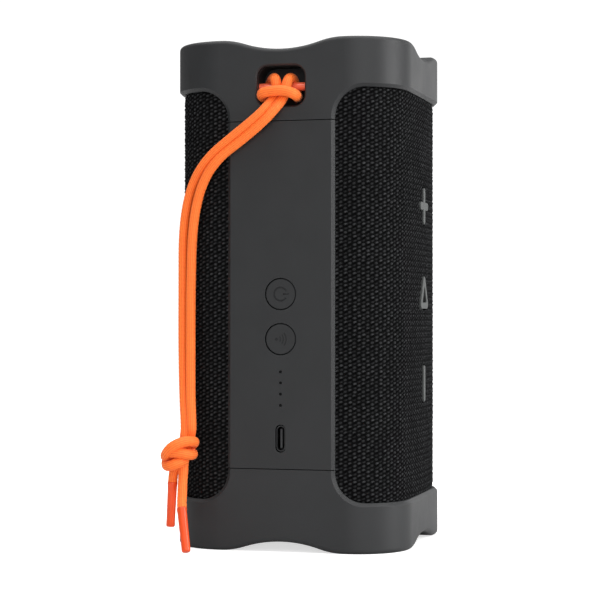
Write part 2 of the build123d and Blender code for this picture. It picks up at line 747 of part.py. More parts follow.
with BuildPart() as main_board_parts:
    with BuildSketch(Plane.YZ.offset(AMP_X + 0.82)):
        with Locations((-12, 112), (2, 112), (-12, 66), (3, 66)):
            RectangleRounded(9, 9, 1)
        with Locations((-6, 92), (-6, 79)):
            Rectangle(8, 8)
        with Locations((10, 95), (10, 84), (10, 73)):
            Circle(3.2)
    extrude(amount=4.2)
finish(main_board_parts, "main_board_parts")

with BuildPart() as battery_cells:
    with Locations((-BATTERY_X, BATTERY_Y, HEIGHT / 2), (BATTERY_X, BATTERY_Y, HEIGHT / 2)):
        Cylinder(BATTERY_R, BATTERY_LONG)
    ends = battery_cells.edges().group_by(Axis.Z)
    fillet(ends[0] + ends[-1], 0.8)
finish(battery_cells, "battery_cells")

with BuildPart() as battery_tray:
    with Locations((0, -20.6, HEIGHT / 2)):
        Box(41, 13.4, BATTERY_LONG + 5)
    with Locations((-BATTERY_X, BATTERY_Y, HEIGHT / 2), (BATTERY_X, BATTERY_Y, HEIGHT / 2)):
        Cylinder(BATTERY_R + 0.1, BATTERY_LONG + 0.4, mode=Mode.SUBTRACT)
    with Locations((0, BATTERY_Y + 4, HEIGHT / 2)):
        Box(2 * BATTERY_X, 12, BATTERY_LONG + 0.4, mode=Mode.SUBTRACT)
finish(battery_tray, "battery_tray")


# ---- screws ----
def screws(plane, spots, head_r, head_high, shank_r, shank_long):
    """Pan-head screws on a plane: heads stand out of it, shanks go in."""
    with BuildPart() as group:
        with BuildSketch(plane):
            with Locations(*spots):
                Circle(shank_r)
        extrude(amount=-shank_long)
        with BuildSketch(plane):
            with Locations(*spots):
                Circle(head_r)
        extrude(amount=head_high)
        with BuildSketch(plane.offset(head_high)):
            with Locations(*spots):
                Rectangle(0.5, 1.4 * head_r)
                Rectangle(1.4 * head_r, 0.5)
        extrude(amount=-0.6 * head_high, mode=Mode.SUBTRACT)
    return group.part


with BuildPart() as end_plate_screws:
    plate_face = CHASSIS_START - END_PLATE_THICK
    low_plane = Plane(origin=(0, 0, plate_face - 0.02), x_dir=(1, 0, 0), z_dir=(0, 0, -1))
    add(screws(low_plane, [(x, -y) for x, y in BOSS_SPOTS], 2.3, 1.5, 1.2, 11))
    high_plane = Plane.XY.offset(HEIGHT - plate_face + 0.02)
    add(screws(high_plane, BOSS_SPOTS, 2.3, 1.5, 1.2, 11))
finish(end_plate_screws, "end_plate_screws")

rear_plane = Plane(origin=(0, CHASSIS_REAR + 0.02, 0), x_dir=(-1, 0, 0), z_dir=(0, 1, 0))
with BuildPart() as chassis_screws:
    add(screws(rear_plane, [(-x, z) for x, z in POST_SPOTS], 1.8, 1.0, 1.0, CHASSIS_REAR + 8))
finish(chassis_screws, "chassis_screws")

with BuildPart() as driver_screws:
    flange_front = flange_back + FLANGE_THICK
    reach = DRIVER_SCREW_R * math.sqrt(0.5)
    spots = [(x, z + up) for z in DRIVER_Z.values() for x in (-reach, reach) for up in (-reach, reach)]
    add(screws(rear_plane.offset(flange_front - CHASSIS_REAR), spots, 1.5, 1.0, 0.8, 5))
finish(driver_screws, "driver_screws")


# ---- lanyard ----
def corner_radii(points):
    """The largest arcs that a route's runs allow."""
    radii = []
    for before, here, after in zip(points, points[1:], points[2:]):
        run_in = here - before
        run_out = after - here
        half_turn = math.radians(run_in.get_angle(run_out) / 2)
        radii.append(0.45 * min(run_in.length, run_out.length) / math.tan(half_turn))
    return radii


def cord_tube(route, name):
    """A plain round tube along straight runs joined by tangent arcs."""
    points = [Vector(*point) for point in route]
    with BuildPart() as tube:
        with BuildLine() as path:
            if len(points) > 2:
                FilletPolyline(*points, radius=corner_radii(points))
            else:
                Line(*points)
        with BuildSketch(Plane(origin=path.line @ 0, z_dir=path.line % 0)):
            Circle(CORD_R)
        sweep()
    finish(tube, name)
    length = sum(edge.length for edge in path.edges())
    expected = math.pi * CORD_R**2 * length
    radii = [round(radius, 1) for radius in corner_radii(points)]
    print(name, "length", round(length, 1), "radii", radii)
    print(name, "volume", round(tube.part.volume, 1), "section x length", round(expected, 1))


HITCH_BOTTOM = 156.8
HITCH_TOP = 165.9
HITCH_FRONT = -45.4
HITCH_BACK = -32.4
KNOT_CENTRE = (-34.9, -46.4, 34.2)
KNOT_TURN = 14.8
KNOT_WIDE = 13.0
KNOT_DEEP = 10.4
KNOT_HIGH = 13.4
LEFT_STRAND = [
    (-3.0, -43.6, 157.4),
    (-8.6, -45.3, 150.8),
    (-17.6, -44.7, 144.4),
    (-26.8, -43.1, 137.2),
    (-33.6, -40.1, 127.4),
    (-36.9, -38.6, 113.0),
    (-36.9, -38.3, 92.0),
    (-36.6, -39.1, 72.0),
    (-35.6, -41.5, 54.0),
    (-34.6, -43.8, 40.5),
]
RIGHT_STRAND = [
    (0.8, -43.6, 157.4),
    (-3.6, -45.3, 150.2),
    (-12.5, -44.8, 143.6),
    (-22.2, -44.0, 136.8),
    (-29.0, -42.5, 127.8),
    (-32.6, -41.0, 113.8),
    (-33.3, -40.6, 93.0),
    (-33.0, -41.4, 73.0),
    (-32.3, -43.7, 54.0),
    (-31.2, -46.2, 40.5),
]
LEFT_TAIL = [(-37.6, -46.1, 27.9), (-37.9, -46.4, 23.6)]
RIGHT_TAIL = [(-33.6, -47.2, 27.9), (-33.3, -50.6, 21.6), (-31.8, -54.4, 15.4)]
LEFT_TIP = (-38.6, -46.6, 8.2)
RIGHT_TIP = (-28.2, -60.2, 1.4)

with BuildPart() as lanyard_hitch:
    hitch_middle = ((HITCH_FRONT + HITCH_BACK) / 2, (HITCH_BOTTOM + HITCH_TOP) / 2)
    with Locations((0, *hitch_middle)):
        Box(15.4, HITCH_BACK - HITCH_FRONT, HITCH_TOP - HITCH_BOTTOM)
    fillet(lanyard_hitch.edges().filter_by(Axis.X), 2.5)
    with Locations((0, BAR_Y, EYE_Z)):
        Cylinder(BAR_R + 0.05, 30, rotation=(0, 90, 0), mode=Mode.SUBTRACT)
finish(lanyard_hitch, "lanyard_hitch")

with BuildPart() as lanyard_knot:
    with Locations(Location(KNOT_CENTRE, (0, 0, KNOT_TURN))):
        Box(KNOT_WIDE, KNOT_DEEP, KNOT_HIGH)
    fillet(lanyard_knot.edges().filter_by(Axis.Z), 4.0)
    fillet(lanyard_knot.edges().group_by(Axis.Z)[-1] + lanyard_knot.edges().group_by(Axis.Z)[0], 1.6)
finish(lanyard_knot, "lanyard_knot")

cord_tube(LEFT_STRAND, "lanyard_left_strand")
cord_tube(RIGHT_STRAND, "lanyard_right_strand")
cord_tube(LEFT_TAIL, "lanyard_left_tail")
cord_tube(RIGHT_TAIL, "lanyard_right_tail")

for aglet, top, tip in (("left_aglet", LEFT_TAIL[-1], LEFT_TIP), ("right_aglet", RIGHT_TAIL[-1], RIGHT_TIP)):
    along = Vector(*tip) - Vector(*top)
    with BuildPart() as sleeve:
        with BuildSketch(Plane(origin=top, z_dir=along)):
            Circle(AGLET_R)
        extrude(amount=along.length)
        fillet(sleeve.edges(), 0.3)
    finish(sleeve, aglet)
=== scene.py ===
"""Looks of an upright portable bluetooth speaker with a knit sleeve and a knotted lanyard.

Metres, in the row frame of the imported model: the speaker stands at z = 0, its control spine faces
-Y and its volume keys face +X.
"""

import json
import math

import bpy
import numpy as np
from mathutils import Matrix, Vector


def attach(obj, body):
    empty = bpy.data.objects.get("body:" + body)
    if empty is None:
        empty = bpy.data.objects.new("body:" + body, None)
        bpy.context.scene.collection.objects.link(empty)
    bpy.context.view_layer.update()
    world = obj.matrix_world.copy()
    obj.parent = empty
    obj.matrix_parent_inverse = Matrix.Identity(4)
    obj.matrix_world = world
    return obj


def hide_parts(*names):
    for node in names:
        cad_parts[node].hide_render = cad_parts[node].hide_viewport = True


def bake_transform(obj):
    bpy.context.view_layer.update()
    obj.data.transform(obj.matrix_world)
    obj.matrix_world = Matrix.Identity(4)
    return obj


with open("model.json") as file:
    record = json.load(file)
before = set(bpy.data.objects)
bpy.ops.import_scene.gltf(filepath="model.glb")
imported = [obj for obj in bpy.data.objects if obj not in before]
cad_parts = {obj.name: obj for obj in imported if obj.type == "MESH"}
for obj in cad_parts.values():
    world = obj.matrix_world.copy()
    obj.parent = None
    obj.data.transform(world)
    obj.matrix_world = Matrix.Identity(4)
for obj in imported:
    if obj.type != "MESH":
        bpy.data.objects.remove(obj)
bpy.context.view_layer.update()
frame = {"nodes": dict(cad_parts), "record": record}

MM = 0.001
HEIGHT = 178.0
ROOT = "housing"

# ---------------------------------------------------------------- camera
camera_data = bpy.data.cameras.new("camera")
camera_data.lens = 112.3
camera_data.sensor_width = 36.0
camera = bpy.data.objects.new("camera", camera_data)
camera.location = (0.1761, -0.6652, 0.0831)
look_at = Vector((-0.00414, -0.0011, 0.0875))
camera.rotation_euler = (look_at - camera.location).to_track_quat("-Z", "Y").to_euler()
bpy.context.scene.collection.objects.link(camera)
bpy.context.scene.camera = camera


# ---------------------------------------------------------------- node materials
class Nodes:
    """A material's node tree with short calls to add nodes and join them."""

    def __init__(self, name):
        self.material = bpy.data.materials.new(name)
        self.material.use_nodes = True
        self.tree = self.material.node_tree
        self.shader = self.tree.nodes["Principled BSDF"]
        self.place = self.add("ShaderNodeTexCoord").outputs["Object"]

    def add(self, kind, inputs=None, **settings):
        node = self.tree.nodes.new(kind)
        for name, value in settings.items():
            setattr(node, name, value)
        for name, value in (inputs or {}).items():
            self.put(node.inputs[name], value)
        return node

    def put(self, socket, value):
        if isinstance(value, bpy.types.NodeSocket):
            self.tree.links.new(value, socket)
        else:
            socket.default_value = value

    def set(self, **values):
        for name, value in values.items():
            self.put(self.shader.inputs[name.replace("_", " ")], value)

    def noise(self, size, detail=3.0, stretch=None):
        """Noise between 0 and 1 whose grains are about size metres across."""
        place = self.place
        if stretch:
            place = self.add("ShaderNodeMapping", {"Vector": place, "Scale": stretch}).outputs[0]
        inputs = {"Vector": place, "Scale": 1 / size, "Detail": detail, "Roughness": 0.55}
        return self.add("ShaderNodeTexNoise", inputs).outputs["Fac"]

    def span(self, value, low, high, start=0.3, end=0.7):
        """value from start..end taken to low..high."""
        inputs = {"Value": value, "From Min": start, "From Max": end, "To Min": low, "To Max": high}
        return self.add("ShaderNodeMapRange", inputs).outputs["Result"]

    def mix(self, factor, first, second):
        node = self.add("ShaderNodeMix", data_type="RGBA")
        self.put(node.inputs[0], factor)
        self.put(node.inputs[6], first)
        self.put(node.inputs[7], second)
        return node.outputs[2]

    def math(self, kind, first, second=0.0):
        node = self.add("ShaderNodeMath", operation=kind)
        self.put(node.inputs[0], first)
        self.put(node.inputs[1], second)
        return node.outputs[0]

    def bump(self, height, depth, strength=1.0):
        """A bump whose heights from 0 to 1 span depth metres."""
        inputs = {"Height": height, "Distance": depth, "Strength": strength}
        return self.add("ShaderNodeBump", inputs).outputs["Normal"]

    def edge(self, radius):
        """1 on edges that are sharper than radius, 0 on flat ground."""
        bevel = self.add("ShaderNodeBevel", {"Radius": radius}, samples=4)
        normal = self.add("ShaderNodeNewGeometry").outputs["Normal"]
        dot = self.add("ShaderNodeVectorMath", operation="DOT_PRODUCT")
        self.put(dot.inputs[0], bevel.outputs[0])
        self.put(dot.inputs[1], normal)
        return self.span(dot.outputs["Value"], 1.0, 0.0, 0.9, 0.995)


def grey(value):
    return (value, value * 1.05, value * 1.13, 1.0)


TONE_SPREAD = 0.12
METAL_GRAIN = 0.25 * MM


def moulded(
    name, colour, roughness, grain=0.35 * MM, depth=0.02 * MM, wear=0.0, coat=0.0, level=0.5
):
    """Moulded plastic or rubber: fine spark-eroded grain, uneven gloss and rubbed edges."""
    nodes = Nodes(name)
    patches = nodes.noise(14 * MM, 4.0)
    fine = nodes.noise(grain, 2.0)
    darker = tuple(c * (1 - TONE_SPREAD) for c in colour[:3]) + (1.0,)
    lighter = tuple(c * (1 + TONE_SPREAD) for c in colour[:3]) + (1.0,)
    tone = nodes.mix(nodes.span(patches, 0.0, 1.0), darker, lighter)
    tone = nodes.mix(nodes.span(fine, 0.0, 0.25), tone, lighter)
    gloss = nodes.span(patches, roughness * 0.93, roughness * 1.07)
    if wear:
        edges = nodes.edge(0.5 * MM)
        smears = nodes.span(nodes.noise(5 * MM, 5.0), 0.3, 1.0)
        rub = nodes.math("MULTIPLY", nodes.math("MULTIPLY", edges, smears), wear)
        tone = nodes.mix(rub, tone, tuple(min(c * 2.2, 1.0) for c in colour[:3]) + (1.0,))
        gloss = nodes.math("SUBTRACT", gloss, nodes.math("MULTIPLY", rub, 0.12))
    nodes.set(Base_Color=tone, Roughness=gloss, Normal=nodes.bump(fine, depth))
    nodes.shader.inputs["Coat Weight"].default_value = coat
    nodes.shader.inputs["Specular IOR Level"].default_value = level
    return nodes.material


def metal(name, colour, roughness, stretch=(1, 1, 12)):
    """Brushed or plated metal with drawn-out scratches."""
    nodes = Nodes(name)
    lines = nodes.noise(METAL_GRAIN, 4.0, stretch)
    darker = tuple(c * 0.82 for c in colour[:3]) + (1.0,)
    nodes.set(
        Base_Color=nodes.mix(nodes.span(lines, 0.0, 1.0), darker, colour),
        Roughness=nodes.span(lines, roughness * 0.8, roughness * 1.25),
        Metallic=1.0,
        Normal=nodes.bump(lines, 0.01 * MM, 0.6),
    )
    return nodes.material


def knit_material():
    """Black knit yarn, with painted shade in the gaps and painted glints along each stitch's crest."""
    nodes = Nodes("sleeve_knit")
    crest = nodes.add("ShaderNodeAttribute", attribute_name="crest").outputs["Fac"]
    thread = nodes.noise(0.16 * MM, 2.0, (1, 1, 0.45))
    cloth = nodes.noise(9 * MM, 3.0)
    # painted light from the stitch height: painted shade in the gaps, painted glints on the crests
    painted_relief_light = nodes.math("POWER", nodes.span(crest, 0.0, 1.0, 0.15, 1.0), 2.8)
    tone = nodes.mix(painted_relief_light, (0.0035, 0.0035, 0.0036, 1), (0.055, 0.056, 0.058, 1))
    tone = nodes.mix(nodes.span(thread, 0.0, 0.35), tone, (0.003, 0.003, 0.0032, 1))
    tone = nodes.mix(nodes.span(cloth, 0.0, 0.15), tone, (0.003, 0.003, 0.0032, 1))
    nodes.set(
        Base_Color=tone,
        Roughness=nodes.span(thread, 0.65, 0.85),
        Normal=nodes.bump(thread, 0.05 * MM),
    )
    nodes.shader.inputs["Specular IOR Level"].default_value = 0.0
    return nodes.material


def cord_material():
    """Fluorescent orange braid, with painted shade (darker, redder colour) in the grooves and a painted
    highlight (paler colour) where the yarn stands proud.
    """
    nodes = Nodes("cord_braid")
    crest = nodes.add("ShaderNodeAttribute", attribute_name="crest").outputs["Fac"]
    fibre = nodes.noise(0.14 * MM, 3.0)
    patches = nodes.noise(6 * MM, 2.0)
    # painted light from the braid's relief: painted shade in the grooves, painted highlight on the
    # crests
    painted_relief_light = nodes.span(crest, 0.0, 1.0, 0.0, 0.8)
    tone = nodes.mix(painted_relief_light, (0.76, 0.07, 0.004, 1), (0.98, 0.195, 0.014, 1))
    tone = nodes.mix(nodes.span(fibre, 0.0, 0.3), tone, (0.98, 0.24, 0.03, 1))
    tone = nodes.mix(nodes.span(patches, 0.0, 0.2), tone, (0.95, 0.13, 0.01, 1))
    nodes.set(
        Base_Color=tone,
        Roughness=nodes.span(fibre, 0.55, 0.75),
        Normal=nodes.bump(fibre, 0.04 * MM),
    )
    nodes.shader.inputs["Sheen Weight"].default_value = 0.1
    nodes.shader.inputs["Sheen Roughness"].default_value = 0.4
    return nodes.material


CHARCOAL = grey(0.0138)
MATERIALS = {
    "cap_plastic": moulded("cap_soft_touch", CHARCOAL, 0.52, wear=0.35, level=0.4),
    "spine_plastic": moulded("spine_satin", grey(0.0128), 0.5, wear=0.35, level=0.4),
    "button_rubber": moulded("button_satin", grey(0.013), 0.5, depth=0.015 * MM, level=0.4),
    "key_plastic": moulded("key_grey", (0.048, 0.051, 0.05, 1), 0.55, level=0.3),
    "light_pipe": moulded("light_pipe_smoked", grey(0.002), 0.6, level=0.1),
    "core_plastic": moulded("core_black", grey(0.008), 0.6),
    "bar_metal": moulded("bar_orange", (1.0, 0.17, 0.08, 1), 0.2, depth=0.004 * MM, coat=1.0),
    "aglet_plastic": moulded("cord_end_gloss", (0.71, 0.063, 0.006, 1), 0.38, coat=0.06, level=0.4),
    "screw_steel": metal("plated_steel", (0.06, 0.06, 0.062, 1), 0.38),
    "seal_rubber": moulded("seal_black", grey(0.012), 0.7),
    "surround_rubber": moulded("surround_black", grey(0.013), 0.45, grain=0.5 * MM),
    "radiator_metal": metal("radiator_black", (0.05, 0.051, 0.053, 1), 0.35, (1, 1, 1)),
    "frame_plastic": moulded("frame_black", grey(0.015), 0.35),
    "board": moulded("board_mask", (0.01, 0.06, 0.03, 1), 0.35),
    "board_parts": moulded("board_parts", grey(0.02), 0.5),
    "dome_metal": metal("dome_bright", (0.6, 0.6, 0.6, 1), 0.25),
    "basket_metal": metal("basket_plain", (0.35, 0.35, 0.36, 1), 0.45),
    "magnet": metal("magnet_dark", (0.1, 0.1, 0.1, 1), 0.5),
    "cone_paper": moulded("cone_black", grey(0.03), 0.8, grain=0.8 * MM, depth=0.05 * MM),
    "battery_wrap": moulded("battery_film", (0.05, 0.2, 0.45, 1), 0.3),
    "sleeve_fabric": knit_material(),
    "cord_fabric": cord_material(),
}
SYMBOL_INK = moulded("symbol_matt", grey(0.0085), 0.7, level=0.25)
# near-black and almost without shine, laid on the floor of the play key's hollow
HOLLOW_NEAR_BLACK = moulded("hollow_matt", grey(0.0015), 0.9, level=0.08)
for entry in frame["record"]["subparts"]:
    node = frame["nodes"][entry["node"]]
    node.data.materials.clear()
    node.data.materials.append(MATERIALS[entry["material_slot"]])


# ---------------------------------------------------------------- mesh helpers
def piece_from(name, points, faces, slot, body=ROOT, crest=None, look=None):
    """A smooth piece in millimetres, with a material slot, riding on a body."""
    data = bpy.data.meshes.new(name)
    data.from_pydata((np.asarray(points, float) * MM).tolist(), [], list(faces))
    data.polygons.foreach_set("use_smooth", np.ones(len(data.polygons), bool))
    if crest is not None:
        crests = data.attributes.new("crest", "FLOAT", "POINT").data
        crests.foreach_set("value", crest.astype(np.float32))
    data.materials.append(look or MATERIALS[slot])
    data.update()
    piece = bpy.data.objects.new(name, data)
    bpy.context.scene.collection.objects.link(piece)
    if body:
        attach(piece, body)
    return piece


def grid_faces(rows, columns, wrap=False):
    """Quads over rows of columns points, closed round if wrap."""
    row = np.arange(rows - 1)[:, None] * columns
    here = np.arange(columns if wrap else columns - 1)[None, :]
    right = (here + 1) % columns
    quads = np.stack([row + here, row + right, row + columns + right, row + columns + here], -1)
    return quads.reshape(-1, 4)


# ---------------------------------------------------------------- lanyard
CORD_R = 1.65
CORD_STEP = 0.3
CORD_ROUND = 60
BRAID_RIBS = 15
BRAID_PITCH = 1.5
BRAID_DEPTH = 0.14
BRAID_PROUD = 0.03
KNOT_REACH = 7.0
HITCH_FOOT = 154.5
END_ROUND = 48
KNOT_CENTRE = np.array((-34.9, -46.4, 34.2))
KNOT_TURN = math.radians(14.8)


def knot(across, out, up):
    """A point about the stopper knot's centre: across and out along its own turned sides."""
    side = np.array((math.cos(KNOT_TURN), math.sin(KNOT_TURN), 0))
    front = np.array((math.sin(KNOT_TURN), -math.cos(KNOT_TURN), 0))
    return tuple(KNOT_CENTRE + across * side + out * front + (0, 0, up))


LEFT_ROUTE = [
    # from behind the bar down, forward under it and across the front as the hitch's band
    (2.6, -33.8, 162.4),
    (3.9, -34.0, 158.2),
    (5.3, -38.8, 157.6),
    (5.8, -43.8, 158.1),
    (2.2, -44.9, 159.6),
    (-3.0, -44.8, 159.4),
    (-6.5, -44.0, 158.8),
    (-6.8, -40.0, 157.6),
    (-7.4, -34.4, 157.8),
    # up behind the bar, over it and out under the band
    (-6.9, -33.8, 160.6),
    (-5.6, -34.2, 164.2),
    (-2.3, -40.7, 164.8),
    (-1.5, -41.4, 160.8),
    (-2.0, -41.2, 157.6),
    (-3.8, -44.9, 154.3),
    (-7.6, -45.7, 150.4),
    (-17.2, -44.7, 143.5),
    (-26.6, -43.1, 136.6),
    (-33.4, -40.1, 127.2),
    (-36.7, -38.6, 113.0),
    (-36.8, -38.3, 92.0),
    (-36.6, -39.1, 72.0),
    (-35.4, -41.5, 54.0),
    (-33.7, -44.8, 43.0),
    # round the knot: behind it, across its right end, under the other cord and over its foot
    knot(1.4, -0.6, 4.8),
    knot(0.8, -1.8, 1.4),
    knot(3.2, -2.6, -0.4),
    knot(4.5, -0.2, -0.7),
    knot(2.9, 3.6, -0.6),
    knot(-0.6, 4.0, 0.2),
    knot(-4.2, 2.2, 0.2),
    knot(-4.6, -1.4, -1.8),
    knot(-5.2, -0.6, -4.4),
    knot(-4.1, 2.9, -4.8),
    knot(-1.0, 3.7, -3.5),
    knot(1.6, 1.6, -2.6),
    knot(0.2, -0.6, -3.6),
    (-37.6, -46.1, 27.9),
    (-37.9, -46.4, 23.6),
    (-38.05, -46.45, 20.6),
]
RIGHT_ROUTE = [
    # from behind the bar up, over it and out under the band
    (3.6, -33.8, 159.6),
    (3.0, -34.4, 163.9),
    (2.7, -40.3, 164.7),
    (1.7, -41.8, 160.6),
    (0.9, -41.2, 157.6),
    (-0.8, -44.9, 153.6),
    (-4.9, -45.7, 149.0),
    (-13.0, -44.8, 142.8),
    (-22.3, -44.0, 136.5),
    (-28.7, -42.5, 127.8),
    (-32.4, -41.0, 113.8),
    (-33.1, -40.6, 93.0),
    (-32.9, -41.4, 73.0),
    (-32.2, -43.7, 54.0),
    (-31.0, -45.9, 43.0),
    # round the knot: behind it, up over its left end and across its top
    knot(3.6, -0.4, 6.6),
    knot(2.0, -1.6, 1.5),
    knot(-1.0, -3.2, -0.6),
    knot(-5.2, -1.6, -1.9),
    knot(-5.2, 2.2, -0.8),
    knot(-3.0, 4.8, 2.2),
    knot(1.4, 4.6, 4.2),
    knot(4.9, 2.6, 4.0),
    knot(4.6, -1.8, 3.2),
    knot(2.2, -2.6, 1.2),
    knot(0.8, 0.4, -2.0),
    (-33.9, -46.6, 27.9),
    (-33.3, -49.4, 21.6),
    (-32.0, -54.0, 15.8),
    (-31.2, -55.4, 13.2),
]


def route_line(route):
    """The NURBS line that a route's points control, in millimetres, in even steps."""
    data = bpy.data.curves.new("route", "CURVE")
    data.dimensions = "3D"
    data.resolution_u = 24
    spline = data.splines.new("NURBS")
    spline.points.add(len(route) - 1)
    for point, place in zip(spline.points, route):
        point.co = (*(value * MM for value in place), 1)
    spline.order_u = 3
    spline.use_endpoint_u = True
    holder = bpy.data.objects.new("route", data)
    bpy.context.scene.collection.objects.link(holder)
    mesh = bpy.data.meshes.new_from_object(holder)
    line = np.array([vertex.co for vertex in mesh.vertices], float) / MM
    bpy.data.objects.remove(holder)
    bpy.data.meshes.remove(mesh)
    line = line[np.r_[True, np.linalg.norm(np.diff(line, axis=0), axis=1) > 1e-6]]
    along = np.r_[0, np.cumsum(np.linalg.norm(np.diff(line, axis=0), axis=1))]
    steps = np.arange(0, along[-1], CORD_STEP)
    return np.stack([np.interp(steps, along, line[:, axis]) for axis in range(3)], 1)


def frames_along(line):
    """Two unit directions across a line at each of its points, without twist."""
    ahead = np.gradient(line, axis=0)
    ahead /= np.linalg.norm(ahead, axis=1, keepdims=True)
    side = np.cross(ahead[0], (0, 0, 1.0))
    sides = []
    for direction in ahead:
        side = side - direction * (side @ direction)
        side /= np.linalg.norm(side)
        sides.append(side)
    sides = np.array(sides)
    return sides, np.cross(ahead, sides)


def fullness(line):
    """How much wider than its free width the soft braid is pressed at each point of its line."""
    knotted = np.exp(-((np.linalg.norm(line - KNOT_CENTRE, axis=1) / KNOT_REACH) ** 6))
    hitched = 1 / (1 + np.exp(-(line[:, 2] - HITCH_FOOT) / 0.8))
    to_end = np.arange(len(line))[::-1] * CORD_STEP
    tapered = 1 - 0.16 * np.clip(1 - to_end / 3.0, 0, 1)
    return (1 + 0.14 * knotted + 0.1 * hitched) * tapered


def braided_cord(name, route):
    """A braided tube along a route: lengthwise ribs of small stitches, staggered rib by rib."""
    line = route_line(route)
    first, second = frames_along(line)
    around = np.arange(CORD_ROUND) * 2 * math.pi / CORD_ROUND
    rib = around * BRAID_RIBS / (2 * math.pi)
    steps = np.arange(len(line)) * CORD_STEP
    across = np.abs(np.sin(math.pi * rib))[None, :]
    lean = 0.35 * np.where(np.floor(rib) % 2 == 0, 1, -1) * (rib % 1)
    stagger = steps[:, None] / BRAID_PITCH + (np.floor(rib) % 2)[None, :] * 0.5 + lean[None, :]
    # the crest heights shape the braid and also set its painted shade and highlight
    crest = across**0.7 * (0.55 + 0.45 * np.abs(np.sin(math.pi * stagger)) ** 0.6)
    radius = (CORD_R + BRAID_PROUD - BRAID_DEPTH * (1 - crest)) * fullness(line)[:, None]
    ring = np.cos(around)[None, :, None] * first[:, None, :]
    ring = ring + np.sin(around)[None, :, None] * second[:, None, :]
    points = (line[:, None, :] + radius[:, :, None] * ring).reshape(-1, 3)
    faces = grid_faces(len(line), CORD_ROUND, wrap=True)
    ends = [list(range(CORD_ROUND))[::-1], list(range(len(points) - CORD_ROUND, len(points)))]
    cord = piece_from(name, points, faces.tolist() + ends, "cord_fabric", crest=crest.ravel())
    return cord, line


def cord_end(name, node, top, tip):
    """A glossy moulded sleeve over a cord's end, a little waisted, with its own seam."""
    top, tip = np.array(top), np.array(tip)
    ahead = (tip - top) / np.linalg.norm(tip - top)
    long = np.linalg.norm(tip - top)
    side = np.cross(ahead, (0, 1.0, 0))
    side /= np.linalg.norm(side)
    other = np.cross(ahead, side)
    profile = [(-0.25, 1.45), (-0.3, 1.66), (-0.05, 1.76), (0.5, 1.74), (1.1, 1.66), (2.5, 1.6)]
    profile += [(share * long, 1.6 - 0.08 * share) for share in (0.3, 0.45, 0.6, 0.75, 0.88)]
    profile += [(long - 0.7, 1.52), (long - 0.25, 1.44), (long - 0.05, 1.2)]
    profile += [(long, 0.8), (long - 0.02, 0.01)]
    around = np.arange(END_ROUND) * 2 * math.pi / END_ROUND
    ring = np.cos(around)[:, None] * side + np.sin(around)[:, None] * other
    seam = 0.05 * np.exp(-((np.minimum(around, 2 * math.pi - around) / 0.12) ** 2))
    ripple = [0.02 * math.sin(3.1 * at) for at, _ in profile]
    rings = []
    for (at, radius), wave in zip(profile, ripple):
        reach = (radius + wave * (radius > 1.3) + seam * (radius > 1.3))[:, None]
        rings.append(top + ahead * at + reach * ring)
    faces = grid_faces(len(profile), END_ROUND, wrap=True).tolist()
    faces.append(list(range(END_ROUND))[::-1])
    faces.append(list(range(END_ROUND * (len(profile) - 1), END_ROUND * len(profile))))
    piece = piece_from(name, np.concatenate(rings), faces, "aglet_plastic")
    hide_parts(node)
    return piece


left_end = cord_end("left_cord_end", "left_aglet", (-37.9, -46.4, 23.6), (-38.6, -46.6, 8.2))
right_end = cord_end("right_cord_end", "right_aglet", (-31.8, -54.4, 15.4), (-28.2, -60.2, 1.4))
left_cord, left_line = braided_cord("lanyard_left_cord", LEFT_ROUTE)
right_cord, right_line = braided_cord("lanyard_right_cord", RIGHT_ROUTE)
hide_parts("lanyard_hitch", "lanyard_left_strand", "lanyard_left_tail", "lanyard_knot")
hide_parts("lanyard_right_strand", "lanyard_right_tail")
tuple(np.array(LEFT_ROUTE[0]) * MM)
tuple(np.array(RIGHT_ROUTE[0]) * MM)

# ---------------------------------------------------------------- knit sleeve
SLEEVE_HALF = 41.6
SLEEVE_CORNER_R = 18.0
SLEEVE_SIDE_R = 260.0
SKIRT = 17.4
TUCK = 0.6
SPINE_HALF = 19.2
ARC_STEPS = 240
WALE = 3.14
COURSE = 2.11
PER_WALE = 10
PER_COURSE = 7
STITCH_HIGH = 0.65
JITTER_ROWS = 200
JITTER_COLUMNS = 120
EDGE_FADE = 3.0
EDGE_SINK = 0.7
KEY_Y = 1.5
KEYS = {"plus": 121.4, "play": 90.2, "minus": 57.2}
KEY_LONG = 13.1
KEY_STROKE = 2.9
PLAY_HIGH = 11.8
PLAY_WIDE = 11.6
PLAY_CORNER_R = 1.6
PLAY_REACH = 6.3
KEY_BASE = 40.85
KEY_HOLE = 0.34
HOLE_SINK = -1.75


def sleeve_outline():
    """Half of the sleeve's outline, from the front middle round by +X to the rear middle."""
    reach = SLEEVE_SIDE_R - SLEEVE_HALF
    span = SLEEVE_SIDE_R - SLEEVE_CORNER_R
    corner = (math.sqrt(2 * span**2 - reach**2) - reach) / 2
    lean = math.asin(corner / span)
    points, normals = [], []

    def arc(centre, radius, start, end):
        for angle in np.linspace(start, end, ARC_STEPS, endpoint=False):
            normal = np.array((math.cos(angle), math.sin(angle)))
            points.append(centre + radius * normal)
            normals.append(normal)

    quarter = math.pi / 2
    arc(np.array((0, reach)), SLEEVE_SIDE_R, -quarter, -quarter + lean)
    arc(np.array((corner, -corner)), SLEEVE_CORNER_R, -quarter + lean, -lean)
    arc(np.array((-reach, 0)), SLEEVE_SIDE_R, -lean, lean)
    arc(np.array((corner, corner)), SLEEVE_CORNER_R, lean, quarter - lean)
    arc(np.array((0, -reach)), SLEEVE_SIDE_R, quarter - lean, quarter + 1e-6)
    return np.array(points), np.array(normals)


# a stitch's three stacked bars and the slits between them, one of them deep: centre, lean from
# upright, half length, half width, height or depth; the bars fill two courses of each column
BAND = 2 * COURSE / 3
